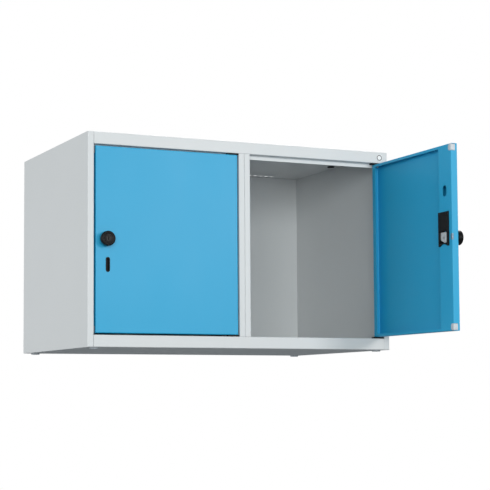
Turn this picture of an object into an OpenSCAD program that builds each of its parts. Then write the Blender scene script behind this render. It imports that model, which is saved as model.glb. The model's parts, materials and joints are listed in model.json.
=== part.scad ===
// Steel top locker with two compartments side by side. The body and the doors are folded from
// sheet, both doors are hinged on their right edge, and each knob drives a rack bolt.
// +X is to the right of someone facing the doors, the doors face -Y, and +Z is up. The origin
// is the middle of the underside, halfway between the two stacking bolt holes.

/* [Body] */
// Overall width of the body
body_w = 800; // [600:10:1200]
// Overall depth of the body
body_d = 500; // [350:10:700]
// Overall height of the body, without its glides
body_h = 500; // [350:10:900]
// Thickness of every folded sheet
sheet = 1; // [0.8:0.1:1.2]
// Inside radius of every fold
fold_r = 1; // [0.8:0.1:1.2]
// Width of each post's front face
post_w = 15; // [13:0.5:25]
// Depth of the flange that each post turns back into the body
post_return = 30; // [26:1:45]
// Height of the top and bottom rails' front faces
rail_h = 28.5; // [24:0.5:45]
// How far the stop lip hangs below the top rail
stop_lip = 10; // [8:0.5:14]
// Height of the flange that the bottom rail turns down
rail_flange = 10; // [6:0.5:14]
// Width of the flanges round the rear edges
rear_flange = 15; // [10:1:25]

/* [Vents] */
// Vent holes over each compartment
vent_count = 14; // [4:1:16]
// Diameter of a vent hole
vent_d = 12; // [6:0.5:14]
// Distance between vent hole centres
vent_pitch = 17; // [15:0.5:18]
// Distance from the rear edge to the vent holes' centres
vent_in = 23; // [14:1:60]

/* [Fixings] */
// Diameter of the stacking bolt holes
bolt_hole_d = 9; // [6.5:0.5:11]
// Distance from the body's sides to the stacking bolt holes
bolt_in = 25; // [18:1:60]
// Diameter of the heads of the plugs under the roof
plug_head_d = 19; // [14:0.5:24]
// Height of the heads of the plugs under the roof
plug_head_h = 3; // [1.5:0.5:4]
// Diameter of a glide
glide_d = 22; // [14:1:30]
// Height of a glide under the body
glide_h = 3.5; // [2:0.5:10]
// Distance from the body's edges to the centres of the glides
glide_in = 25; // [24:1:60]
// Diameter of a glide's stem
glide_stem_d = 8; // [5:0.5:10]
// Diameter of the blank badge
badge_d = 17; // [10:0.5:20]
// Thickness of the blank badge
badge_t = 1.2; // [0.6:0.1:2]
// Distance from the right side to the centre of the badge
badge_in = 23; // [15:1:100]

/* [Doors] */
// Gap between a door and the frame all round
door_gap = 4; // [3:0.5:6]
// Thickness of a door from its outer face to its lips
door_t = 17; // [17:0.5:25]
// Width of the lip along the lock side
lock_lip = 13; // [13:0.5:13.5]
// Width of the lip along the hinge side
hinge_lip = 16; // [14:0.5:25]
// Width of the lips along the top and the bottom
end_lip = 7; // [6:0.5:16]
// Distance from the lock edge to the far side of the stiffening channel
channel_w = 56; // [56:1:90]
// How far the left door stands open
left_door_open = 0; // [0:5:110]
// How far the right door stands open
right_door_open = 90; // [0:5:110]

/* [Corner buffers] */
// Width of a corner buffer across the lip
buffer_w = 12.5; // [10:0.5:12.5]
// Height of a corner buffer
buffer_h = 16; // [12:0.5:24]
// Distance from the door's outer face to a buffer
buffer_back = 6; // [4:0.5:10]
// How far a buffer stands proud of the lips
buffer_proud = 1; // [0.5:0.1:2]
// Gap between a closed door's buffer and the stop lip
stop_gap = 0.3; // [0.2:0.1:1]

/* [Hinges] */
// Distance from the door's hinge edge to the pivot
pivot_in = 6.5; // [6:0.5:9]
// Distance from the door's outer face to the pivot
pivot_back = 5.2; // [5.2:0.1:7]
// Diameter of a hinge pin
pin_d = 4; // [3:0.1:4.4]
// Radial running clearance of a hinge pin in its bush
pin_clearance = 0.05; // [0.02:0.01:0.1]
// Outer diameter of a bush's boss
bush_boss_d = 6; // [5.8:0.1:6]
// Height of a bush's boss above the rail's sheet
bush_boss_h = 6; // [4:0.5:10]
// Length of a bush's plate along the rail
bush_l = 28; // [24:1:40]
// Depth of a bush's plate from front to back
bush_depth = 13; // [11:0.5:15]
// Gap between a bush's plate and the door
bush_gap = 0.4; // [0.3:0.1:0.8]
// Thickness of the gusset that holds a pin inside the door
gusset_t = 3; // [2:0.5:4]
// Length of a gusset
gusset_l = 26; // [18:1:40]
// Depth of a gusset
gusset_depth = 12; // [9:0.5:13]

/* [Lock] */
// Distance from the door's lock edge to the knob's axis
lock_in = 25; // [25:0.5:25]
// Height of the knob's axis above the middle of the door
lock_raise = 0; // [-40:5:40]
// Diameter of the rosette round the knob
rosette_d = 27; // [24:0.5:32]
// Thickness of the rosette's flange
rosette_t = 3; // [2:0.5:4]
// Outer diameter of the rosette's sleeve, which passes through the door
sleeve_d = 20; // [19:0.5:22]
// Diameter of the knob's head
knob_d = 35; // [30:0.5:36]
// How far the knob stands out from the door
knob_out = 20; // [18:0.5:30]
// Diameter of the knob's neck inside the sleeve
neck_d = 16; // [14:0.5:16.5]
// Diameter of the key cylinder's plug
core_d = 12; // [9:0.5:13]
// Radial running clearance of the turning lock pieces
lock_clearance = 0.05; // [0.02:0.01:0.1]
// Distance across the flats of the lock nut
nut_af = 25; // [24:0.5:28]
// Thickness of the lock nut
nut_t = 4; // [3:0.5:5]
// Tooth module of the pinion and the rack
tooth_module = 1; // [0.9:0.05:1.1]
// Teeth on the pinion
pinion_teeth = 15; // [15:1:15]
// Height of the bolt's nose
nose_h = 14; // [12:0.5:15]
// Clearance round the bolt's nose in the rim
nose_clearance = 0.3; // [0.2:0.1:0.5]
// Clearance round the bolt in the post's strike hole
strike_clearance = 1; // [0.5:0.1:2]
// Height of the lock case's cover above the knob's axis
case_up = 60; // [58:1:80]
// Depth of the lock case's cover below the knob's axis
case_down = 20; // [20:1:30]
// How far the lock case's cover stands proud of the channel
case_proud = 3; // [3:0.5:5]
// Width of the slot insert
slot_w = 10.5; // [8:0.5:14]
// Height of the slot insert
slot_h = 35; // [20:1:60]
// Distance from the door's lock edge to the middle of the slot insert and of the oval hole
slot_in = 30; // [26:0.5:34]
// Distance from the knob's axis down to the middle of the slot insert
slot_drop = 59; // [50:1:90]
// Width of the oval hole in the stiffening channel
oval_w = 16; // [10:0.5:20]
// Height of the oval hole in the stiffening channel
oval_h = 26; // [20:1:40]
// Distance from the knob's axis up to the middle of the oval hole
oval_rise = 109; // [90:1:130]

/* [Hidden] */
$fn = 64;

LEFT = 0;
RIGHT = 1;
GREY = [0.82, 0.84, 0.84];
BLUE = [0.33, 0.67, 0.87];
BLACK = [0.08, 0.08, 0.09];
PALE = [0.85, 0.86, 0.87];
SILVER = [0.72, 0.73, 0.75];
STEEL = [0.6, 0.61, 0.63];

front_y = -body_d / 2;
back_y = body_d / 2;
bend_r = fold_r + sheet;
rail_depth = door_t + buffer_proud + stop_gap + sheet;
inner_back_y = back_y - 2 * sheet;
through = 1; // how far a cut runs past the face it starts from

// The doors, in their own frame: x from the lock edge, y inwards from the outer face, z from
// the bottom edge
opening_w = body_w / 2 - 2 * post_w;
opening_h = body_h - 2 * rail_h;
door_w = opening_w - 2 * door_gap;
door_h = opening_h - 2 * door_gap;
door_z = rail_h + door_gap;
door_x = [-body_w / 2 + post_w + door_gap, post_w + door_gap];
door_open = [left_door_open, right_door_open];
pivot_x = door_w - pivot_in;
lock_z = door_h / 2 + lock_raise;

// The lock, from the knob's axis at the door's outer face
sleeve_back = 6.5;
core_front = 0.4; // how far the key plug's face lies below the knob's
core_back = 4.3;
pitch_r = tooth_module * pinion_teeth / 2;
addendum = 0.9 * tooth_module;
dedendum = 1.2 * tooth_module;
tooth_half = (PI / 4 - 0.12) * tooth_module; // half a tooth at the pitch line, less backlash
tooth_lean = tan(20);
bolt_travel = pitch_r * PI / 2;
pinion_y = [8.2, 13.2];
shank_r = 4;
slide_gap = 0.2; // between the pieces of the lock that slide past each other
plate_y = [pinion_y[1] + slide_gap, pinion_y[1] + slide_gap + 2];
hub_y = [plate_y[1] + slide_gap, plate_y[1] + slide_gap + 2.2];
nose_y = 13.5;
nose_back = 0.5; // how far the drawn-in nose lies inside the door's edge
nose_l = 6; // length of the nose's full thickness, which lies in a notch in the lip
bolt_block_x = [-11.6, -8.9];
bolt_right = 26.5;
bolt_top = 13;
bolt_low = -9;
bolt_point = [11, -12]; // the lowest point of the bolt's plate
case_wall = 2;
case_body_x = [-lock_in + lock_lip + 1, 29];
case_body_z = [-14.5, 52];
case_cover_x = [-lock_in + lock_lip, 30];
case_front_y = 5;
case_back_y = door_t + case_proud;
case_window_x = [-5, 28];
case_window_z = [-13, 15];
arch_w = 32;
arch_h = 5;
screw_spots = [[-4, 56], [22, 56], [26, -17]];
screw_shank_r = 1.75;
screw_head_r = 2.8;
screw_head_h = 1.4;

// ---- Folded sheet ---------------------------------------------------------------------------

// One straight run of sheet round the middle line from a to b
module run(a, b) {
    upright = abs(a[0] - b[0]) < 0.001;
    half = upright ? [sheet / 2, 0] : [0, sheet / 2];
    low = [min(a[0], b[0]), min(a[1], b[1])];
    span = [abs(a[0] - b[0]), abs(a[1] - b[1])];
    translate(low - half) square(span + 2 * half);
}

// The quarter ring where the middle line turns at v, on its way from a to b
module bend(a, v, b) {
    middle_r = fold_r + sheet / 2;
    inward = (v - a) / norm(v - a);
    onward = (b - v) / norm(b - v);
    side = inward - onward;
    translate(v - middle_r * inward + middle_r * onward)
        intersection() {
            difference() {
                circle(r = bend_r);
                circle(r = fold_r);
            }
            translate([side[0] > 0 ? 0 : -bend_r, side[1] > 0 ? 0 : -bend_r]) square(bend_r);
        }
}

// Section of a sheet folded along a middle line whose turns are all square
module folded(path) {
    last = len(path) - 1;
    middle_r = fold_r + sheet / 2;
    for (i = [0 : last - 1]) {
        along = (path[i + 1] - path[i]) / norm(path[i + 1] - path[i]);
        start = path[i] + along * (i == 0 ? 0 : middle_r);
        end = path[i + 1] - along * (i == last - 1 ? 0 : middle_r);
        run(start, end);
    }
    for (i = [1 : last - 1]) bend(path[i - 1], path[i], path[i + 1]);
}

// Extrudes a (Y, Z) section along X, from x0 over the length
module along_x(x0, length) {
    translate([x0, 0, 0]) rotate([90, 0, 90]) linear_extrude(height = length) children();
}

module rounded_rect(w, h, r) {
    difference() {
        square([w, h]);
        for (x = [0, 1], y = [0, 1])
            translate([x * w, y * h]) mirror([x, 0]) mirror([0, y])
                difference() {
                    translate([-through, -through]) square(r + through);
                    translate([r, r]) circle(r = r);
                }
    }
}

module obround(w, h) {
    translate([-w / 2, -(h - w) / 2]) square([w, h - w]);
    for (s = [-1, 1]) translate([0, s * (h - w) / 2]) circle(d = w);
}

// A block whose edges round its front and its back are rounded, as a folded pan's are
module pan_block(w, t, h, r) {
    intersection() {
        linear_extrude(height = h) rounded_rect(w, t, r);
        along_x(0, w) rounded_rect(t, h, r);
    }
}

// ---- Body -----------------------------------------------------------------------------------

// Plan section of a wall with its post, folded towards +X (dir = 1) or -X (dir = -1)
module wall_section(outer_x, dir, rear_y) {
    wall_x = outer_x + dir * sheet / 2;
    return_x = outer_x + dir * (post_w - sheet / 2);
    face_y = front_y + sheet / 2;
    folded([
        [outer_x + dir * rear_flange, rear_y - sheet / 2],
        [wall_x, rear_y - sheet / 2],
        [wall_x, face_y],
        [return_x, face_y],
        [return_x, front_y + post_return]
    ]);
}

// What rounds the front edge of a post's end as the rail beside it is rounded
module rail_edge_cut() {
    along_x(-body_w / 2 - through, body_w + 2 * through)
        difference() {
            translate([front_y - through, -through]) square(bend_r + through);
            translate([front_y + bend_r, bend_r]) circle(r = bend_r);
        }
}

// The hole that a door's bolt enters, through the post's return beside the door's lock edge
module strike_hole(side) {
    low_y = nose_y - strike_clearance;
    depth = door_t - nose_y + 2 * strike_clearance;
    height = nose_h + 2 * strike_clearance;
    translate([
        door_x[side] - door_gap - sheet - through,
        front_y + low_y,
        door_z + lock_z - height / 2
    ])
        cube([sheet + 2 * through, depth, height]);
}

module side_panel(dir) {
    color(GREY)
        difference() {
            linear_extrude(height = body_h) wall_section(-dir * body_w / 2, dir, back_y);
            rail_edge_cut();
            translate([0, 0, body_h]) mirror([0, 0, 1]) rail_edge_cut();
            // room for the roof's and the floor's sheets
            for (z = [-through, body_h - sheet])
                translate([-body_w / 2 + sheet, front_y + sheet, z])
                    cube([body_w - 2 * sheet, body_d - 2 * sheet, sheet + through]);
            if (dir == 1) strike_hole(LEFT);
        }
}

// The two centre walls stand back to back. Their posts fill the gap between the rails.
module centre_wall(dir) {
    rail_room = [body_w, rail_depth + through, rail_h + through];
    color(GREY)
        difference() {
            translate([0, 0, sheet])
                linear_extrude(height = body_h - 2 * sheet) wall_section(0, dir, inner_back_y);
            for (z = [-through, body_h - rail_h])
                translate([-body_w / 2, front_y - through, z]) cube(rail_room);
            if (dir == 1) strike_hole(RIGHT);
        }
}

// Lies on the rear flanges, clear of the insides of their folds
module back_panel() {
    edge = bend_r + 0.1;
    color(GREY)
        translate([-body_w / 2 + edge, inner_back_y, edge])
            cube([body_w - 2 * edge, sheet, body_h - 2 * edge]);
}

// A roof or floor with its rail, lying outside face down. The rail's last flange ends at lip_z.
module tray(lip_z) {
    half = body_w / 2 - sheet;
    flange_y = front_y + rail_depth - sheet / 2;
    difference() {
        along_x(-half, 2 * half)
            folded([
                [back_y - sheet / 2, rear_flange],
                [back_y - sheet / 2, sheet / 2],
                [front_y + sheet / 2, sheet / 2],
                [front_y + sheet / 2, rail_h - sheet / 2],
                [flange_y, rail_h - sheet / 2],
                [flange_y, lip_z]
            ]);
        for (dir = [-1, 1]) {
            corner_cut(dir, post_w, front_y, sheet, rail_depth);
            corner_cut(dir, rear_flange, back_y, -sheet, -bend_r);
        }
    }
}

// Clears a tray's corner for the side panel: its edge over the side's sheet, and below the
// tray's own sheet everything over the given room
module corner_cut(dir, width, edge_y, sheet_room, room) {
    x = dir == 1 ? body_w / 2 - width : -body_w / 2 - through;
    past = sign(room) * through;
    tall = rail_h + stop_lip + 2 * through;
    for (cut = [[sheet_room, -through], [room, sheet]])
        translate([x, min(edge_y - past, edge_y + cut[0]), cut[1]])
            cube([width + through, abs(cut[0]) + through, tall]);
}

module roof_tray() {
    translate([0, 0, body_h]) mirror([0, 0, 1]) tray(rail_h + stop_lip);
}

// Where each door's hinge pin stands, at the height given
module at_pivots(z) {
    for (x = door_x) translate([x + pivot_x, front_y + pivot_back, z]) children();
}

module bush_hole() {
    cylinder(d = bush_boss_d + 0.2, h = sheet + 2 * through, center = true);
}

module at_stacking_bolts(z) {
    for (s = [-1, 1]) translate([s * (body_w / 2 - bolt_in), 0, z]) children();
}

module roof_panel() {
    lip_gap = 2 * post_w;
    color(GREY)
        difference() {
            roof_tray();
            // the stop lip is cut away where the centre posts pass
            translate([-lip_gap / 2, front_y + sheet + bend_r, body_h - rail_h - stop_lip - through])
                cube([lip_gap, rail_depth, stop_lip + through]);
            for (s = [-1, 1], i = [0 : vent_count - 1])
                translate([
                    s * body_w / 4 + (i - (vent_count - 1) / 2) * vent_pitch,
                    back_y - vent_in,
                    body_h - sheet - through
                ])
                    cylinder(d = vent_d, h = sheet + 2 * through);
            at_stacking_bolts(body_h - sheet - through)
                cylinder(d = bolt_hole_d, h = sheet + 2 * through);
            at_pivots(body_h - rail_h + sheet / 2) bush_hole();
        }
}

module floor_panel() {
    color(GREY)
        difference() {
            tray(rail_h - rail_flange);
            at_stacking_bolts(-through) cylinder(d = bolt_hole_d, h = sheet + 2 * through);
            for (x = [-1, 1], y = [-1, 1])
                at_glide(x, y) translate([0, 0, -through])
                    cylinder(d = glide_stem_d + 0.2, h = sheet + 2 * through);
            at_pivots(rail_h - sheet / 2) bush_hole();
        }
}

module at_glide(x, y) {
    translate([x * (body_w / 2 - glide_in), y * (body_d / 2 - glide_in), 0]) children();
}

module glide(x, y) {
    chamfer = glide_h / 3;
    snap = 0.6;
    color(PALE)
        at_glide(x, y)
            rotate_extrude()
                polygon([
                    [0, -glide_h],
                    [glide_d / 2 - chamfer, -glide_h],
                    [glide_d / 2, -glide_h + chamfer],
                    [glide_d / 2, 0],
                    [glide_stem_d / 2, 0],
                    [glide_stem_d / 2, sheet],
                    [glide_stem_d / 2 + snap, sheet + snap],
                    [glide_stem_d / 2 - snap, sheet + 4],
                    [0, sheet + 4]
                ]);
}

module roof_plugs() {
    edge = plug_head_h / 3;
    color(BLACK)
        at_stacking_bolts(body_h - sheet)
            rotate_extrude()
                polygon([
                    [0, -plug_head_h],
                    [plug_head_d / 2 - edge, -plug_head_h],
                    [plug_head_d / 2, -plug_head_h + edge],
                    [plug_head_d / 2, 0],
                    [bolt_hole_d / 2, 0],
                    [bolt_hole_d / 2, sheet],
                    [0, sheet]
                ]);
}

module blank_badge() {
    edge = badge_t / 3;
    color(PALE)
        translate([body_w / 2 - badge_in, front_y, body_h - rail_h / 2 - 0.5])
            rotate([90, 0, 0]) {
                cylinder(d = badge_d, h = badge_t - edge);
                translate([0, 0, badge_t - edge])
                    cylinder(d1 = badge_d, d2 = badge_d - 2 * edge, h = edge);
            }
}

// ---- Doors ----------------------------------------------------------------------------------

// Puts a door's own frame where the door hangs, turned about its pivot as far as it is open
module on_door(side) {
    translate([door_x[side] + pivot_x, front_y + pivot_back, door_z])
        rotate([0, 0, door_open[side]])
            translate([-pivot_x, -pivot_back, 0])
                children();
}

// Turns what is drawn for the top of the door upside down for its bottom
module at_end(upper) {
    translate([0, 0, upper ? 0 : door_h]) mirror([0, 0, upper ? 0 : 1]) children();
}

module hinge_bush(side, upper) {
    plate_end = door_w + door_gap - bush_gap;
    plate_z = door_h + bush_gap;
    boss_top = door_h + door_gap + sheet + bush_boss_h;
    color(BLACK)
        translate([door_x[side], front_y, door_z]) at_end(upper)
            difference() {
                union() {
                    translate([plate_end - bush_l, 0.6, plate_z])
                        cube([bush_l, bush_depth, door_gap - bush_gap]);
                    translate([pivot_x, pivot_back, plate_z])
                        cylinder(d = bush_boss_d, h = boss_top - plate_z);
                }
                translate([pivot_x, pivot_back, plate_z - through])
                    cylinder(r = pin_d / 2 + pin_clearance, h = boss_top - plate_z + 2 * through);
            }
}

module buffer_outline() {
    round_r = 5;
    difference() {
        square([buffer_w, buffer_h]);
        for (y = [0, 1])
            translate([buffer_w, y * buffer_h]) mirror([1, 0]) mirror([0, y])
                difference() {
                    translate([-through, -through]) square(round_r + through);
                    translate([round_r, round_r]) circle(r = round_r);
                }
    }
}

// The room that a buffer takes in the pan's upper lock-side corner
module buffer_shape(back_y) {
    translate([0, back_y, door_h - sheet - buffer_h])
        rotate([90, 0, 0]) linear_extrude(height = back_y - buffer_back) buffer_outline();
}

module corner_buffer(side, upper) {
    color(PALE)
        on_door(side) at_end(upper) buffer_shape(door_t + buffer_proud);
}

module door_panel(side) {
    color(BLUE)
        on_door(side)
            difference() {
                pan_block(door_w, door_t, door_h, bend_r);
                translate([sheet, sheet, sheet])
                    pan_block(door_w - 2 * sheet, door_t - 2 * sheet, door_h - 2 * sheet, fold_r);
                translate([lock_lip, door_t - sheet - fold_r, end_lip])
                    cube([
                        door_w - lock_lip - hinge_lip,
                        sheet + fold_r + through,
                        door_h - 2 * end_lip
                    ]);
                for (upper = [true, false]) at_end(upper) {
                    buffer_shape(door_t + through);
                    translate([pivot_x, pivot_back, door_h - sheet - through])
                        cylinder(d = pin_d, h = sheet + 2 * through);
                }
                translate([lock_in, -through, lock_z]) {
                    rotate([-90, 0, 0]) cylinder(d = sleeve_d + 0.2, h = sheet + 2 * through);
                    translate([slot_in - lock_in, sheet + 2 * through, -slot_drop])
                        rotate([90, 0, 0]) linear_extrude(height = sheet + 2 * through)
                            obround(slot_w - 1.8, slot_h - 1.8);
                }
                // notch for the bolt's nose, in the corner of the rim and the lip
                translate([
                    -through,
                    nose_y - nose_clearance,
                    lock_z - nose_h / 2 - nose_clearance
                ])
                    cube([
                        nose_back + nose_l + nose_clearance + through,
                        door_t - nose_y + nose_clearance + through,
                        nose_h + 2 * nose_clearance
                    ]);
            }
}

// Stiffening channel down the lock side, between the lips
module lock_channel(side) {
    top_z = door_h - end_lip;
    body_clear = 0.2;
    color(BLUE)
        on_door(side)
            difference() {
                translate([0, 0, end_lip])
                    linear_extrude(height = top_z - end_lip)
                        folded([
                            [lock_lip, door_t - sheet / 2],
                            [channel_w - sheet / 2, door_t - sheet / 2],
                            [channel_w - sheet / 2, sheet]
                        ]);
                translate([lock_in, door_t + through, lock_z]) rotate([90, 0, 0]) {
                    translate([slot_in - lock_in, oval_rise, 0])
                        linear_extrude(height = sheet + 2 * through) obround(oval_w, oval_h);
                    translate([
                        case_body_x[0] - body_clear,
                        case_body_z[0] - body_clear,
                        0
                    ])
                        cube([
                            case_body_x[1] - case_body_x[0] + 2 * body_clear,
                            case_body_z[1] - case_body_z[0] + 2 * body_clear,
                            sheet + 2 * through
                        ]);
                    for (spot = screw_spots) translate([spot[0], spot[1], 0])
                        cylinder(r = screw_shank_r, h = sheet + 2 * through);
                }
            }
}

// Plates inside the door's hinge-side corners, which the pins are pressed through
module hinge_gussets(side) {
    color(BLUE)
        on_door(side)
            for (upper = [true, false]) at_end(upper)
                difference() {
                    translate([
                        door_w - bend_r - gusset_l,
                        bend_r,
                        door_h - sheet - gusset_t
                    ])
                        cube([gusset_l, gusset_depth, gusset_t]);
                    translate([pivot_x, pivot_back, door_h - sheet - gusset_t - through])
                        cylinder(d = pin_d, h = gusset_t + 2 * through);
                }
}

module hinge_pin(side, upper) {
    head_h = 2.5;
    head_z = door_h - sheet - gusset_t - head_h;
    top_z = door_h + door_gap + sheet + bush_boss_h;
    color(STEEL)
        on_door(side) at_end(upper)
            translate([pivot_x, pivot_back, head_z]) {
                cylinder(d = pin_d + 3, h = head_h);
                cylinder(d = pin_d, h = top_z - 1.5 - head_z);
            }
}

// ---- Lock -----------------------------------------------------------------------------------

// Puts the lock's own frame on the door: x and z from the knob's axis, y inwards
module at_lock(side) {
    on_door(side) translate([lock_in, 0, lock_z]) children();
}

// Stands what is drawn round z on the knob's axis, from the depth y, with z pointing out of
// the door
module on_axis(y) {
    translate([0, y, 0]) rotate([90, 0, 0]) children();
}

// An (x, z) outline from depth y0 to depth y1
module slab(y0, y1) {
    on_axis(y1) linear_extrude(height = y1 - y0) children();
}

module rosette(side) {
    color(BLACK)
        at_lock(side)
            difference() {
                union() {
                    on_axis(0) cylinder(d1 = rosette_d, d2 = rosette_d - 1.6, h = rosette_t);
                    on_axis(sleeve_back) cylinder(d = sleeve_d, h = sleeve_back + 0.5);
                }
                on_axis(sleeve_back + through)
                    cylinder(r = neck_d / 2 + lock_clearance, h = sleeve_back + rosette_t + 2 * through);
            }
}

module lock_nut(side) {
    color(STEEL)
        at_lock(side)
            on_axis(sheet + nut_t)
                difference() {
                    cylinder(d = nut_af / cos(30), h = nut_t, $fn = 6);
                    translate([0, 0, -through]) cylinder(d = sleeve_d, h = nut_t + 2 * through);
                }
}

module knob(side) {
    head_back = rosette_t + slide_gap;
    head_l = knob_out - head_back;
    hub_r = knob_d / 2 - 6.5;
    edge = 3;
    color(BLACK)
        at_lock(side)
            difference() {
                union() {
                    on_axis(-head_back) rotate_extrude() {
                        polygon([
                            [0, 0],
                            [hub_r, 0],
                            [hub_r, 2.5],
                            [knob_d / 2, head_l - 8],
                            [knob_d / 2, head_l - edge],
                            [knob_d / 2 - edge, head_l],
                            [0, head_l]
                        ]);
                        translate([knob_d / 2 - edge, head_l - edge]) circle(r = edge);
                    }
                    on_axis(sleeve_back) cylinder(d = neck_d, h = sleeve_back + head_back + 1);
                }
                on_axis(-core_back)
                    cylinder(r = core_d / 2 + lock_clearance, h = knob_out - core_back + through);
                on_axis(sleeve_back + through)
                    cylinder(r = shank_r, h = sleeve_back + 2 + through);
            }
}

module lock_core(side) {
    front = knob_out - core_front;
    slit_w = 1.8;
    slit_h = 8;
    color(SILVER)
        at_lock(side)
            difference() {
                on_axis(-core_back - slide_gap)
                    cylinder(d = core_d, h = front - core_back - slide_gap);
                translate([-slit_w / 2, -front - through, -slit_h / 2])
                    cube([slit_w, 6 + through, slit_h]);
            }
}

// One pinion tooth, pointing up from the axis
module pinion_tooth() {
    root_r = pitch_r - dedendum;
    root_half = tooth_half + 0.14 * tooth_module;
    tip_half = 0.25 * tooth_module;
    polygon([
        [-root_half, root_r - 0.5],
        [root_half, root_r - 0.5],
        [tooth_half, pitch_r],
        [tip_half, pitch_r + addendum],
        [-tip_half, pitch_r + addendum],
        [-tooth_half, pitch_r]
    ]);
}

module drive_pinion(side) {
    color(SILVER)
        at_lock(side) {
            on_axis(hub_y[0]) cylinder(r = shank_r, h = hub_y[0] + 2);
            slab(pinion_y[0], pinion_y[1]) {
                circle(r = pitch_r - dedendum);
                for (i = [0 : pinion_teeth - 1]) rotate(i * 360 / pinion_teeth) pinion_tooth();
            }
            difference() {
                on_axis(hub_y[1]) cylinder(r = 2 * shank_r, h = hub_y[1] - hub_y[0]);
                slab(hub_y[1] - 1, hub_y[1] + through) square([2 * shank_r, 1.6], center = true);
            }
        }
}

// Rack teeth point down to the pinion. Their gaps are as far apart as its teeth are.
module rack_tooth() {
    root_z = pitch_r + dedendum;
    tip_z = pitch_r - addendum;
    root_half = tooth_half + dedendum * tooth_lean;
    tip_half = tooth_half - addendum * tooth_lean;
    polygon([
        [-root_half, root_z],
        [-tip_half, tip_z],
        [tip_half, tip_z],
        [root_half, root_z]
    ]);
}

module bolt(side) {
    pitch = PI * tooth_module;
    block_w = bolt_block_x[1] - bolt_block_x[0];
    nose_x = nose_back - lock_in;
    color(SILVER)
        at_lock(side) {
            slab(nose_y, plate_y[1])
                translate([nose_x, -nose_h / 2]) square([bolt_block_x[1] - nose_x, nose_h]);
            slab(nose_y, door_t) translate([nose_x, -nose_h / 2]) square([nose_l, nose_h]);
            slab(pinion_y[0], plate_y[1])
                translate([bolt_block_x[0], bolt_low]) square([block_w, bolt_top - bolt_low]);
            slab(pinion_y[0] + slide_gap, plate_y[0]) {
                translate([bolt_block_x[0], pitch_r + dedendum])
                    square([bolt_right - bolt_block_x[0], bolt_top - pitch_r - dedendum]);
                for (i = [-2 : 5]) translate([(i + 0.5) * pitch, 0]) rack_tooth();
            }
            slab(plate_y[0], plate_y[1])
                difference() {
                    polygon([
                        [bolt_block_x[0], bolt_low],
                        [bolt_block_x[1], bolt_low],
                        bolt_point,
                        [bolt_right, bolt_low + 5],
                        [bolt_right, bolt_top],
                        [bolt_block_x[0], bolt_top]
                    ]);
                    translate([bolt_travel / 2, 0]) rotate(90)
                        obround(2 * (shank_r + slide_gap), bolt_travel + 2 * (shank_r + slide_gap));
                }
        }
}

module lock_case(side) {
    arch_r = (arch_w * arch_w / 4 + arch_h * arch_h) / (2 * arch_h);
    cover_w = case_cover_x[1] - case_cover_x[0];
    body_x0 = case_body_x[0];
    body_z0 = case_body_z[0];
    body_size = [case_body_x[1] - body_x0, case_body_z[1] - body_z0];
    color(BLACK)
        at_lock(side)
            difference() {
                union() {
                    slab(case_front_y, door_t + 0.5) translate([body_x0, body_z0]) square(body_size);
                    slab(door_t, case_back_y)
                        difference() {
                            translate([case_cover_x[0], -case_down])
                                square([cover_w, case_up + case_down]);
                            translate([
                                (case_cover_x[0] + case_cover_x[1]) / 2,
                                -case_down - arch_r + arch_h
                            ])
                                circle(r = arch_r);
                        }
                }
                slab(case_front_y - through, case_back_y - case_wall)
                    translate([body_x0 + case_wall, body_z0 + case_wall])
                        square(body_size - 2 * [case_wall, case_wall]);
                slab(case_front_y, case_back_y + through)
                    translate([case_window_x[0], case_window_z[0]])
                        square([
                            case_window_x[1] - case_window_x[0],
                            case_window_z[1] - case_window_z[0]
                        ]);
                // the way out for the bolt, through the wall beside the rim
                slab(case_front_y - through, plate_y[1] + 0.6)
                    translate([body_x0 - through, bolt_low - 2])
                        square([case_wall + 2 * through, bolt_top - bolt_low + 3]);
                for (spot = screw_spots) translate([spot[0], 0, spot[1]])
                    on_axis(case_back_y + through)
                        cylinder(r = screw_shank_r, h = case_proud + 2 * through);
            }
}

module lock_screws(side) {
    color(BLACK)
        at_lock(side)
            for (spot = screw_spots) translate([spot[0], 0, spot[1]]) {
                on_axis(case_back_y + screw_head_h)
                    difference() {
                        cylinder(r1 = screw_head_r - 0.6, r2 = screw_head_r, h = screw_head_h);
                        translate([-screw_head_r, -0.4, -through])
                            cube([2 * screw_head_r, 0.8, 0.6 + through]);
                    }
                on_axis(case_back_y) cylinder(r = screw_shank_r, h = case_proud + sheet + 3);
            }
}

module slot_insert(side) {
    proud = 0.5;
    back = 9;
    pocket = 6;
    color(BLACK)
        at_lock(side) translate([slot_in - lock_in, 0, -slot_drop])
            difference() {
                union() {
                    slab(-proud, 0) obround(slot_w, slot_h);
                    slab(-proud / 2, back) obround(slot_w - 2, slot_h - 2);
                }
                slab(-proud - through, pocket) obround(slot_w - 4.5, slot_h - 4.5);
            }
}

// ---- Nodes ----------------------------------------------------------------------------------

side_panel(1);  // left_side_panel
side_panel(-1);  // right_side_panel
back_panel();
roof_panel();
floor_panel();
centre_wall(-1);  // left_centre_wall
centre_wall(1);  // right_centre_wall
roof_plugs();
blank_badge();
glide(-1, -1);  // front_left_glide
glide(1, -1);  // front_right_glide
glide(-1, 1);  // back_left_glide
glide(1, 1);  // back_right_glide
hinge_bush(LEFT, true);  // left_upper_hinge_bush
hinge_bush(LEFT, false);  // left_lower_hinge_bush
hinge_bush(RIGHT, true);  // right_upper_hinge_bush
hinge_bush(RIGHT, false);  // right_lower_hinge_bush
door_panel(LEFT);  // left_door_panel
lock_channel(LEFT);  // left_lock_channel
corner_buffer(LEFT, true);  // left_upper_buffer
corner_buffer(LEFT, false);  // left_lower_buffer
hinge_gussets(LEFT);  // left_hinge_gussets
hinge_pin(LEFT, true);  // left_upper_hinge_pin
hinge_pin(LEFT, false);  // left_lower_hinge_pin
slot_insert(LEFT);  // left_slot_insert
rosette(LEFT);  // left_rosette
lock_nut(LEFT);  // left_lock_nut
lock_case(LEFT);  // left_lock_case
lock_screws(LEFT);  // left_lock_screws
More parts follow.
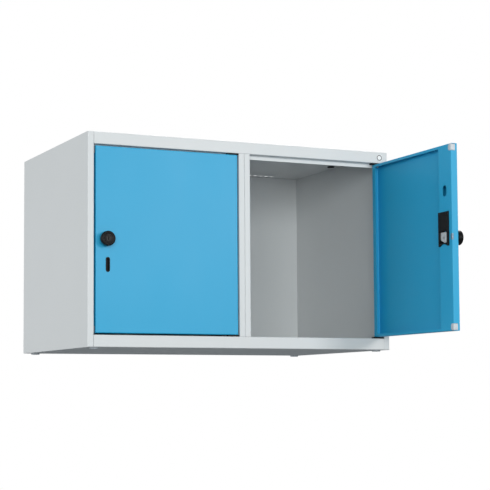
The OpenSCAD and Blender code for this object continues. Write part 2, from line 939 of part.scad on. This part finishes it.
knob(LEFT);  // left_knob
drive_pinion(LEFT);  // left_drive_pinion
lock_core(LEFT);  // left_lock_core
bolt(LEFT);  // left_bolt
door_panel(RIGHT);  // right_door_panel
lock_channel(RIGHT);  // right_lock_channel
corner_buffer(RIGHT, true);  // right_upper_buffer
corner_buffer(RIGHT, false);  // right_lower_buffer
hinge_gussets(RIGHT);  // right_hinge_gussets
hinge_pin(RIGHT, true);  // right_upper_hinge_pin
hinge_pin(RIGHT, false);  // right_lower_hinge_pin
slot_insert(RIGHT);  // right_slot_insert
rosette(RIGHT);  // right_rosette
lock_nut(RIGHT);  // right_lock_nut
lock_case(RIGHT);  // right_lock_case
lock_screws(RIGHT);  // right_lock_screws
knob(RIGHT);  // right_knob
drive_pinion(RIGHT);  // right_drive_pinion
lock_core(RIGHT);  // right_lock_core
bolt(RIGHT);  // right_bolt
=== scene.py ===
import json
import math

import bmesh
import bpy
from mathutils import Matrix, Vector


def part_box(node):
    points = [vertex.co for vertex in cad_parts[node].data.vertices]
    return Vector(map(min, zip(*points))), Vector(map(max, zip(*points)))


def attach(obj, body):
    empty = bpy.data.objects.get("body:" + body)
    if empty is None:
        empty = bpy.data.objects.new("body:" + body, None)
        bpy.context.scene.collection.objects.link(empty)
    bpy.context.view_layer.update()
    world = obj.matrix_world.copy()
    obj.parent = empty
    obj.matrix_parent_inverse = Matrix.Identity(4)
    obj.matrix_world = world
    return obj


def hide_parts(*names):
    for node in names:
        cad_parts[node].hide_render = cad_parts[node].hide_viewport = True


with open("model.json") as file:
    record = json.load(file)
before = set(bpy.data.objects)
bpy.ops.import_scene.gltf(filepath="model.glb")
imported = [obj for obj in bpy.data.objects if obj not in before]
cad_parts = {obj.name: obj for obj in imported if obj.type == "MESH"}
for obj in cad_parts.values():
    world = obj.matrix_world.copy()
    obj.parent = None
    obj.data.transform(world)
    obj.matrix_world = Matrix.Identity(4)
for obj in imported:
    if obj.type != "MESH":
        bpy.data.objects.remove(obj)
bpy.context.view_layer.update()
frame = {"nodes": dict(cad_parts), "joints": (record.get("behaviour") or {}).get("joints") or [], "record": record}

SIDES = ("left", "right")
MM = 0.001
BARE_METAL = (0.86, 0.87, 0.88)
# painted shade with a painted bluish reflection of the door paint, for the bolt's nose
NOSE_PAINTED_SHADE = (0.20, 0.29, 0.38)
# the paler tone that sharp painted edges are mixed towards, as a painted highlight
EDGE_HIGHLIGHT_TONE = 0.85
PAINT_IOR = 1.42
ALLOY_FINISH = {"rough": 0.32, "stretch": (0.15, 0.15, 1.0), "metal": 0.45}
CAD_SHARP_ANGLE = math.radians(28.0)
PIECE_SHARP_ANGLE = math.radians(35.0)
SOFTENED_ANGLE = math.radians(40.0)
SOFTENED_SEGMENTS = 2
NODES = frame["nodes"]
JOINTS = {joint["name"]: joint for joint in frame["joints"]}


# ---- Node helpers ---------------------------------------------------------------------------

FLAT_DOT = 0.99  # how nearly a bevelled normal lies along the true one on a flat
EDGE_DOT = 0.86  # and on a fully sharp edge


class Tree:
    """A material's node tree, with short calls for the few kinds of node used here."""

    def __init__(self, name):
        self.material = bpy.data.materials.new(name)
        self.material.use_nodes = True
        self.nodes = self.material.node_tree.nodes
        self.links = self.material.node_tree.links
        self.shader = next(n for n in self.nodes if n.type == "BSDF_PRINCIPLED")
        self.place = self.nodes.new("ShaderNodeTexCoord").outputs["Object"]

    def link(self, source, target):
        self.links.new(source, target)

    def noise(self, size, detail=2.0, roughness=0.5, stretch=None):
        """Noise whose features are about size metres across, from 0 to 1."""
        node = self.nodes.new("ShaderNodeTexNoise")
        node.inputs["Scale"].default_value = 1.0 / size
        node.inputs["Detail"].default_value = detail
        node.inputs["Roughness"].default_value = roughness
        if stretch:
            mapping = self.nodes.new("ShaderNodeMapping")
            mapping.inputs["Scale"].default_value = stretch
            self.link(self.place, mapping.inputs["Vector"])
            self.link(mapping.outputs["Vector"], node.inputs["Vector"])
        else:
            self.link(self.place, node.inputs["Vector"])
        return node.outputs["Fac"]

    def spread(self, value, low, high, out_low=0.0, out_high=1.0):
        """value from low..high to out_low..out_high, clamped."""
        node = self.nodes.new("ShaderNodeMapRange")
        node.inputs["From Min"].default_value = low
        node.inputs["From Max"].default_value = high
        node.inputs["To Min"].default_value = out_low
        node.inputs["To Max"].default_value = out_high
        self.link(value, node.inputs["Value"])
        return node.outputs["Result"]

    def math(self, operation, a, b):
        node = self.nodes.new("ShaderNodeMath")
        node.operation = operation
        for socket, value in zip(node.inputs, (a, b)):
            if isinstance(value, (int, float)):
                socket.default_value = value
            else:
                self.link(value, socket)
        return node.outputs[0]

    def mix(self, factor, a, b):
        """Colour a where factor is 0 and colour b where it is 1."""
        node = self.nodes.new("ShaderNodeMix")
        node.data_type = "RGBA"
        self.link(factor, node.inputs[0])
        for socket, value in ((node.inputs[6], a), (node.inputs[7], b)):
            if isinstance(value, tuple):
                socket.default_value = (*value, 1.0)
            else:
                self.link(value, socket)
        return node.outputs[2]

    def edges(self, radius):
        """1 on edges sharper than radius can round, 0 on flats."""
        bevel = self.nodes.new("ShaderNodeBevel")
        bevel.samples = 4
        bevel.inputs["Radius"].default_value = radius
        geometry = self.nodes.new("ShaderNodeNewGeometry")
        dot = self.nodes.new("ShaderNodeVectorMath")
        dot.operation = "DOT_PRODUCT"
        self.link(bevel.outputs["Normal"], dot.inputs[0])
        self.link(geometry.outputs["Normal"], dot.inputs[1])
        return self.spread(dot.outputs["Value"], FLAT_DOT, EDGE_DOT)

    def bump(self, height, distance, under=None):
        node = self.nodes.new("ShaderNodeBump")
        node.inputs["Strength"].default_value = 1.0
        node.inputs["Distance"].default_value = distance
        self.link(height, node.inputs["Height"])
        if under is not None:
            self.link(under, node.inputs["Normal"])
        return node.outputs["Normal"]

    def set(self, **values):
        for name, value in values.items():
            socket = self.shader.inputs[name.replace("_", " ")]
            if isinstance(value, (int, float)):
                socket.default_value = value
            elif isinstance(value, tuple):
                socket.default_value = (*value, 1.0)
            else:
                self.link(value, socket)


def scaled(colour, factor):
    return tuple(c * factor for c in colour)


# ---- Materials ------------------------------------------------------------------------------

def powder_coat(name, colour, rough, edge_highlight_strength):
    """Satin powder coat: orange peel, faint clouds and a painted highlight on sharp edges, broken up by noise."""
    t = Tree(name)
    cloud = t.spread(t.noise(0.22, detail=3.0), 0.3, 0.7)
    fleck = t.spread(t.noise(0.0009, detail=1.0), 0.35, 0.65)
    base = t.mix(cloud, scaled(colour, 0.985), scaled(colour, 1.01))
    base = t.mix(t.math("MULTIPLY", fleck, 0.5), base, scaled(colour, 0.96))
    broken = t.spread(t.noise(0.006, detail=4.0, roughness=0.7), 0.42, 0.62)
    # painted highlight: sharp edges, broken up by noise, are mixed towards a paler tone
    highlit_edges = t.math("MULTIPLY", t.edges(0.5 * MM), t.math("MULTIPLY", broken, edge_highlight_strength))
    base = t.mix(highlit_edges, base, tuple(0.5 * (c + EDGE_HIGHLIGHT_TONE) for c in colour))
    smears = t.noise(0.09, detail=5.0, roughness=0.62, stretch=(1.0, 1.0, 0.35))
    smear = t.spread(smears, 0.3, 0.75)
    peel = t.noise(0.0016, detail=2.0)
    ripple = t.noise(0.006, detail=1.0)
    t.set(
        Base_Color=base,
        Roughness=t.spread(smear, 0.0, 1.0, rough - 0.015, rough + 0.02),
        Normal=t.bump(peel, 0.03 * MM, under=t.bump(ripple, 0.015 * MM)),
    )
    t.shader.inputs["IOR"].default_value = PAINT_IOR
    return t.material


def moulded(name, colour, rough, grain, grain_depth, dust_and_highlight, gloss=0.5):
    """Moulded plastic with a fine even grain, paler in random rubbed and dusty patches, and with a painted
    highlight on its edges.
    """
    t = Tree(name)
    rubbed = t.spread(t.noise(0.012, detail=5.0, roughness=0.65), 0.45, 0.75)
    base = t.mix(rubbed, colour, tuple(c + dust_and_highlight for c in colour))
    # painted highlight: the edges are mixed towards a paler tone
    edge_highlight = t.math("MULTIPLY", t.edges(0.4 * MM), 0.5)
    base = t.mix(edge_highlight, base, tuple(c + 2 * dust_and_highlight for c in colour))
    t.set(
        Base_Color=base,
        Roughness=t.spread(t.noise(0.008, detail=4.0), 0.3, 0.7, rough - 0.06, rough + 0.08),
        Normal=t.bump(t.noise(grain, detail=2.0), grain_depth),
        Specular_IOR_Level=gloss,
    )
    return t.material


def plated(name, colour, rough, stretch, metal=1.0, painted_shade_end=None):
    """Metal with fine drawn scratches and uneven tarnish.

    painted_shade_end is (point, direction): past the point in that direction the metal is painted a dark bluish
    grey, a painted shade with a painted reflection of the blue door paint.
    """
    t = Tree(name)
    tarnish = t.spread(t.noise(0.006, detail=5.0, roughness=0.6), 0.35, 0.75)
    scratch = t.noise(0.0006, detail=3.0, stretch=stretch)
    base = t.mix(tarnish, colour, scaled(colour, 0.8))
    # painted shade: past the given point the metal is mixed towards a dark bluish grey, standing in for shade and
    # the blue door's reflection
    if painted_shade_end:
        start, outwards = painted_shade_end
        along = t.nodes.new("ShaderNodeVectorMath")
        along.operation = "DOT_PRODUCT"
        along.inputs[1].default_value = outwards
        t.link(t.place, along.inputs[0])
        edge = start.dot(outwards)
        in_shade = t.spread(along.outputs["Value"], edge, edge + 1.5 * MM)
        base = t.mix(in_shade, base, NOSE_PAINTED_SHADE)
    t.set(
        Base_Color=base,
        Metallic=metal,
        Roughness=t.spread(scratch, 0.3, 0.7, rough - 0.07, rough + 0.1),
        Normal=t.bump(scratch, 0.01 * MM),
    )
    return t.material


def printed_disc(name, colour, ink, centre, radius):
    """A blank disc with a plain printed ring inside its rim."""
    ring_inner, ring_outer = 0.62 * radius, 0.85 * radius
    soft = 0.2 * MM
    t = Tree(name)
    away = t.nodes.new("ShaderNodeVectorMath")
    away.operation = "DISTANCE"
    away.inputs[1].default_value = centre
    t.link(t.place, away.inputs[0])
    reach = away.outputs["Value"]
    outside = t.spread(reach, ring_inner, ring_inner + soft)
    inside = t.spread(reach, ring_outer + soft, ring_outer)
    t.set(Base_Color=t.mix(t.math("MULTIPLY", outside, inside), colour, ink), Roughness=0.3)
    return t.material


badge_low, badge_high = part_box("blank_badge")
badge_size = badge_high - badge_low

MATERIALS = {
    "body_paint": powder_coat("light_grey_coat", (0.705, 0.712, 0.715), 0.42, 0.12),
    "door_paint": powder_coat("light_blue_coat", (0.020, 0.385, 0.66), 0.42, 0.15),
    "black_plastic": moulded(
        "black_plastic", (0.007, 0.007, 0.0075), 0.5, 0.7 * MM, 0.03 * MM, 0.004, gloss=0.2,
    ),
    "knob_plastic": moulded(
        "knob_plastic", (0.006, 0.006, 0.0065), 0.36, 0.9 * MM, 0.012 * MM, 0.003, gloss=0.12,
    ),
    "pale_plastic": moulded(
        "pale_plastic", (0.56, 0.59, 0.62), 0.42, 0.8 * MM, 0.02 * MM, 0.05,
    ),
    "badge_face": printed_disc(
        "badge_face", (0.85, 0.85, 0.85), (0.05, 0.05, 0.05),
        (badge_low + badge_high) / 2, badge_size.z / 2,
    ),
    "zinc_steel": plated("zinc_steel", (0.62, 0.63, 0.64), 0.34, (1.0, 1.0, 0.1)),
    "lock_alloy": plated("lock_alloy", BARE_METAL, **ALLOY_FINISH),
    "black_steel": moulded(
        "black_steel", (0.008, 0.008, 0.008), 0.35, 0.6 * MM, 0.01 * MM, 0.004, gloss=0.2,
    ),
}
SLOT_OF = {row["node"]: row["material_slot"] for row in frame["record"]["subparts"]}

for name, node in NODES.items():
    node.data.materials.clear()
    node.data.materials.append(MATERIALS[SLOT_OF[name]])
    for polygon in node.data.polygons:
        polygon.use_smooth = True
    node.data.set_sharp_from_angle(angle=CAD_SHARP_ANGLE)


# ---- Pieces ---------------------------------------------------------------------------------

def door_axes(side):
    """(along the door from its lock edge, inwards, up) at rest."""
    inward = -Vector(JOINTS[f"{side}_knob_hinge"]["axis"])
    up = Vector((0.0, 0.0, 1.0))
    return inward.cross(up), inward, up


def place_at(origin, axes):
    place = Matrix(axes).transposed().to_4x4()
    place.translation = origin
    return place


def add_piece(name, bm, place, body, slot, replaced):
    bmesh.ops.recalc_face_normals(bm, faces=bm.faces)
    bmesh.ops.transform(bm, matrix=place, verts=bm.verts)
    mesh = bpy.data.meshes.new(name)
    bm.to_mesh(mesh)
    bm.free()
    mesh.materials.append(MATERIALS[slot])
    for polygon in mesh.polygons:
        polygon.use_smooth = True
    mesh.set_sharp_from_angle(angle=PIECE_SHARP_ANGLE)
    piece = bpy.data.objects.new(name, mesh)
    bpy.context.scene.collection.objects.link(piece)
    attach(piece, body)
    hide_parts(replaced)
    return piece


def arc(centre, radius, start, end, steps):
    """Points from start to end degrees round centre."""
    points = []
    for i in range(steps + 1):
        a = math.radians(start + (end - start) * i / steps)
        points.append((centre[0] + radius * math.cos(a), centre[1] + radius * math.sin(a)))
    return points


def stitch(bm, rings):
    """Faces between rings of the same number of vertices; a ring of one vertex is a pole."""
    for low, high in zip(rings, rings[1:]):
        n = max(len(low), len(high))
        for i in range(n):
            j = (i + 1) % n
            corners = (
                low[i % len(low)], low[j % len(low)], high[j % len(high)], high[i % len(high)],
            )
            face = list(dict.fromkeys(corners))
            if len(face) > 2:
                bm.faces.new(face)


def lathe(profile, turns=96):
    """Turns (radius, y) points, in millimetres, round the y axis."""
    bm = bmesh.new()
    rings = []
    for radius, y in profile:
        count = 1 if radius < 1e-6 else turns
        rings.append([
            bm.verts.new((
                radius * MM * math.cos(math.tau * i / turns),
                y * MM,
                radius * MM * math.sin(math.tau * i / turns),
            ))
            for i in range(count)
        ])
    stitch(bm, rings)
    return bm


KNOB_OVERHANG = 6.5  # how far the head stands out past the hub, in millimetres
KNOB_BURIED = 6.5  # the length of the knob's CAD node behind the door's face, in millimetres
BOLT_UNSHADED = 13.5  # from the knob's axis to where the bolt's nose is painted in shade, in millimetres


def knob_profile(out, radius):
    """The knob's (radius, y): shank, neck, hub, round-backed head, dished face, plug bore."""
    rim = 3.0
    bore = 6.05
    shank = 4.0
    neck = 8.0
    hub = radius - KNOB_OVERHANG
    hub_front, hub_back = -5.7, -3.2
    head_back = out - 8.0
    points = [(0.0, -2.0), (shank, -2.0), (shank, KNOB_BURIED)]
    points += [(neck, KNOB_BURIED), (neck, hub_back)]
    points += [(hub - 0.4, hub_back), (hub, hub_back - 0.4), (hub, hub_front + 0.5)]
    for i in range(9):
        a = math.radians(10.0 + 80.0 * i / 8)
        points.append((
            hub + (radius - hub) * math.sin(a),
            hub_front - (head_back + hub_front) * (1.0 - math.cos(a)),
        ))
    points += arc((radius - rim, -out + rim), rim, 0.0, -90.0, 10)
    points += [(13.2, -out + 0.08), (12.0, -out + 0.3), (11.2, -out + 0.45), (10.7, -out + 0.5)]
    points += [(10.5, -out + 1.0), (9.9, -out + 1.0), (9.7, -out + 0.5), (8.0, -out + 0.45)]
    points += [(6.6, -out + 0.4), (bore + 0.15, -out + 0.45), (bore, -out + 0.65)]
    points += [(bore, -4.3), (0.0, -4.3)]
    return points


def buffer_outline(width, height, inner_r, outer_r):
    """(u, z) outline, round on the side away from the lock edge."""
    points = []
    for centre, radius, start in (
        ((outer_r, outer_r), outer_r, 180.0),
        ((width - inner_r, inner_r), inner_r, 270.0),
        ((width - inner_r, height - inner_r), inner_r, 0.0),
        ((outer_r, height - outer_r), outer_r, 90.0),
    ):
        points += arc(centre, radius, start, start + 90.0, 10)
    return points


def buffer_mesh(width, depth, height):
    """A moulded pad with a rounded edge and a domed face, in metres."""
    inner_r, outer_r, edge = 6.0 * MM, 2.2 * MM, 1.5 * MM
    dome = 0.25 * edge  # the height of the face's dome
    dome_start = 0.24  # the share of the way to the middle at which it begins
    bm = bmesh.new()
    outline = buffer_outline(width, height, inner_r, outer_r)
    middle = (width / 2, height / 2)
    rows = [(0.0, 0.0), (0.0, depth - edge)]
    rows += [(edge * (1 - math.cos(a)), depth - edge + 0.75 * edge * math.sin(a))
             for a in (math.radians(18.0 * k) for k in range(1, 6))]
    dome_foot = depth - dome
    reach = width / 2
    for share in (0.45, 0.65, 0.85):
        turn = math.pi / 2 * (share - dome_start) / (1 - dome_start)
        rows.append((reach * share, dome_foot + dome * math.sin(turn)))
    rings = []
    for inset, w in rows:
        k = 1 - inset / reach
        rings.append([
            bm.verts.new((middle[0] + (u - middle[0]) * k, w, middle[1] + (z - middle[1]) * k))
            for u, z in outline
        ])
    stitch(bm, rings + [[bm.verts.new((middle[0], depth, middle[1]))]])
    bm.faces.new(rings[0])
    return bm


def add_buffer(side, end):
    node = f"{side}_{end}_buffer"
    axes = door_axes(side)
    low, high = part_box(node)
    origin = Vector([
        high[i] if sum(axis[i] for axis in axes) < -0.5 else low[i] for i in range(3)
    ])
    width, depth, height = (abs((high - low).dot(axis)) for axis in axes)
    add_piece(
        f"{node}_pad", buffer_mesh(width, depth, height), place_at(origin, axes),
        f"{side}_door", "pale_plastic", node,
    )


def soften(node, radius):
    """Rounds a CAD piece's sharp edges by radius."""
    bevel = NODES[node].modifiers.new("rounded_edges", "BEVEL")
    bevel.width = radius
    bevel.segments = SOFTENED_SEGMENTS
    bevel.limit_method = "ANGLE"
    bevel.angle_limit = SOFTENED_ANGLE


for side in SIDES:
    joint = JOINTS[f"{side}_knob_hinge"]
    outwards = Vector(JOINTS[f"{side}_bolt_slide"]["axis"])
    # the bolt's nose is painted a dark bluish grey, as painted shade and a painted reflection of the blue door
    nose_start = Vector(joint["pos_m"]) + BOLT_UNSHADED * MM * outwards
    NODES[f"{side}_bolt"].data.materials.clear()
    NODES[f"{side}_bolt"].data.materials.append(plated(
        f"{side}_bolt_alloy_shaded_nose", BARE_METAL, **ALLOY_FINISH, painted_shade_end=(nose_start, outwards),
    ))
    low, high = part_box(f"{side}_knob")
    size = sorted((high - low) / MM)
    face = size[0] - KNOB_BURIED
    add_piece(
        f"{side}_knob_grip", lathe(knob_profile(face, size[1] / 2)),
        place_at(Vector(joint["pos_m"]), door_axes(side)),
        f"{side}_knob_turn", "knob_plastic", f"{side}_knob",
    )
    for end in ("upper", "lower"):
        add_buffer(side, end)
        soften(f"{side}_{end}_hinge_bush", 0.4 * MM)
    soften(f"{side}_lock_case", 0.5 * MM)
    soften(f"{side}_bolt", 0.3 * MM)
    soften(f"{side}_slot_insert", 0.25 * MM)


# ---- Stage, light and camera ----------------------------------------------------------------

FLOOR_Z = -1.8
FLOOR_R = 12.0
FLOOR_GLOW = 0.5
FLOOR_LIT = (0.24, 0.25, 0.26, 1.0)
LENS = 110.32
SHIFT = (0.02, 0.08)
YAW, PITCH, ROLL = (math.radians(a) for a in (24.991, 4.405, -0.339))
EYE = Vector((-1.5445, -3.5063, -0.1228))


def add_floor():
    """A pale floor below the locker. Only the camera sees it pale: it throws little light up."""
    bm = bmesh.new()
    bmesh.ops.create_circle(bm, cap_ends=True, segments=128, radius=FLOOR_R)
    bmesh.ops.translate(bm, verts=bm.verts, vec=(0.0, 0.0, FLOOR_Z))
    mesh = bpy.data.meshes.new("floor")
    bm.to_mesh(mesh)
    bm.free()
    floor = bpy.data.objects.new("floor", mesh)
    bpy.context.scene.collection.objects.link(floor)
    t = Tree("pale_floor")
    t.set(
        Base_Color=t.mix(t.noise(1.5, detail=3.0), (0.80, 0.80, 0.80), (0.84, 0.84, 0.84)),
        Roughness=0.8,
        Emission_Color=(1.0, 1.0, 1.0),
        Emission_Strength=FLOOR_GLOW,
    )
    dull = t.nodes.new("ShaderNodeBsdfDiffuse")
    dull.inputs["Color"].default_value = FLOOR_LIT
    mix = t.nodes.new("ShaderNodeMixShader")
    t.link(t.nodes.new("ShaderNodeLightPath").outputs["Is Camera Ray"], mix.inputs["Fac"])
    t.link(dull.outputs["BSDF"], mix.inputs[1])
    t.link(t.shader.outputs["BSDF"], mix.inputs[2])
    surface = next(n for n in t.nodes if n.type == "OUTPUT_MATERIAL").inputs["Surface"]
    t.link(mix.outputs["Shader"], surface)
    mesh.materials.append(t.material)


def add_world(below, level, above, tint):
    """A plain white backdrop, and softer, slightly cool studio light that falls from above."""
    world = bpy.data.worlds.new("studio")
    bpy.context.scene.world = world
    world.use_nodes = True
    nodes, links = world.node_tree.nodes, world.node_tree.links
    nodes.clear()
    out = nodes.new("ShaderNodeOutputWorld")
    mix = nodes.new("ShaderNodeMixShader")
    seen = nodes.new("ShaderNodeBackground")
    seen.inputs["Color"].default_value = (1.0, 1.0, 1.0, 1.0)
    light = nodes.new("ShaderNodeBackground")
    ramp = nodes.new("ShaderNodeValToRGB")
    ramp.color_ramp.elements[0].color = (*(below * c for c in tint), 1.0)
    ramp.color_ramp.elements[1].color = (*(above * c for c in tint), 1.0)
    middle = ramp.color_ramp.elements.new(0.5)
    middle.color = (*(level * c for c in tint), 1.0)
    split = nodes.new("ShaderNodeSeparateXYZ")
    lift = nodes.new("ShaderNodeMapRange")
    lift.inputs["From Min"].default_value = -1.0
    links.new(nodes.new("ShaderNodeTexCoord").outputs["Generated"], split.inputs[0])
    links.new(split.outputs["Z"], lift.inputs["Value"])
    links.new(lift.outputs["Result"], ramp.inputs["Fac"])
    links.new(ramp.outputs["Color"], light.inputs["Color"])
    links.new(nodes.new("ShaderNodeLightPath").outputs["Is Camera Ray"], mix.inputs["Fac"])
    links.new(light.outputs["Background"], mix.inputs[1])
    links.new(seen.outputs["Background"], mix.inputs[2])
    links.new(mix.outputs["Shader"], out.inputs["Surface"])


def add_softbox(name, place, aim, width, height, watts, colour=(1.0, 1.0, 1.0)):
    data = bpy.data.lights.new(name, "AREA")
    data.shape = "RECTANGLE"
    data.size = width
    data.size_y = height
    data.energy = watts
    data.color = colour
    light = bpy.data.objects.new(name, data)
    bpy.context.scene.collection.objects.link(light)
    light.location = place
    light.rotation_euler = (Vector(aim) - Vector(place)).to_track_quat("-Z", "Y").to_euler()


def add_camera():
    data = bpy.data.cameras.new("camera")
    data.sensor_width = 36.0
    data.lens = LENS
    data.shift_x, data.shift_y = SHIFT
    data.clip_end = 200.0
    camera = bpy.data.objects.new("camera", data)
    turn = (Matrix.Rotation(-YAW, 4, "Z") @ Matrix.Rotation(math.pi / 2 + PITCH, 4, "X")
            @ Matrix.Rotation(ROLL, 4, "Z"))
    camera.matrix_world = Matrix.Translation(EYE) @ turn
    bpy.context.scene.collection.objects.link(camera)
    bpy.context.scene.camera = camera


add_floor()
add_world(below=0.28, level=0.29, above=0.32, tint=(0.88, 1.0, 1.05))
FRONT_AIM = (0.0, -0.25, 0.25)
add_softbox("front", (-1.5, -4.35, 0.62), FRONT_AIM, 3.4, 1.5, 108, (0.95, 1.0, 1.0))
add_softbox("key", (1.8, -4.5, 1.0), FRONT_AIM, 1.0, 0.8, 58, (1.0, 0.97, 0.96))
add_softbox("side", (-3.0, 0.7, 0.3), (-0.4, 0.0, 0.25), 2.0, 1.6, 42)
add_softbox("top", (1.5, 1.3, 3.2), (0.0, 0.0, 0.5), 2.0, 1.8, 80)
add_softbox("rear", (3.0, 2.4, 1.0), (0.1, 0.1, 0.25), 2.0, 1.6, 75)
add_camera()
bpy.context.scene.view_settings.view_transform = "Standard"
bpy.context.scene.view_settings.look = "None"
